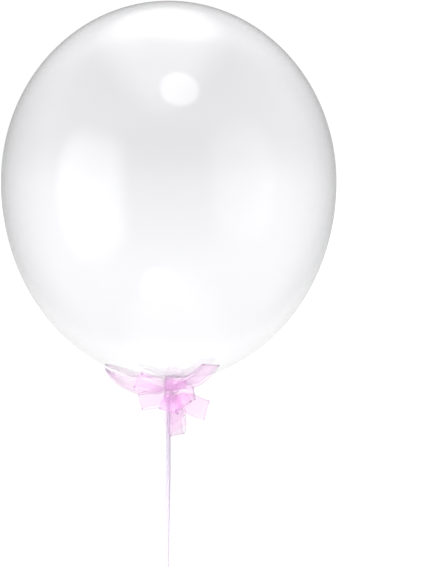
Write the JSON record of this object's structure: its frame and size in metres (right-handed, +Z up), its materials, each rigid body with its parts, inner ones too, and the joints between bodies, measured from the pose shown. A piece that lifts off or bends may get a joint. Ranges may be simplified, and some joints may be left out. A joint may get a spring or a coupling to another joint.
{
  "type": "clear bubble balloon",
  "caption": "Clear round balloon lying on its side, tapering to a neck tied with a sheer ribbon bow and a narrow ribbon string.",
  "frame": {"origin": "middle of the small flat spot on the film that the balloon rests on", "axes": "+Z up from the floor; +Y along the floor towards the crown, so the neck, bow and string are at -Y; +X to the right seen from the string's end"},
  "size_m": [0.2994, 0.5172, 0.3125],
  "materials": {
    "clear_film": "thin, glossy, see-through stretched film",
    "sheer_ribbon": "sheer lilac-pink ribbon, glossy, darker at its edges and folds",
    "curling_ribbon": "pale lilac curling ribbon, satin, finely ribbed lengthwise"
  },
  "bodies": {
    "root": {"film_envelope": "clear_film", "ribbon_bow": "sheer_ribbon", "ribbon_string": "curling_ribbon"}
  },
  "joints": []
}
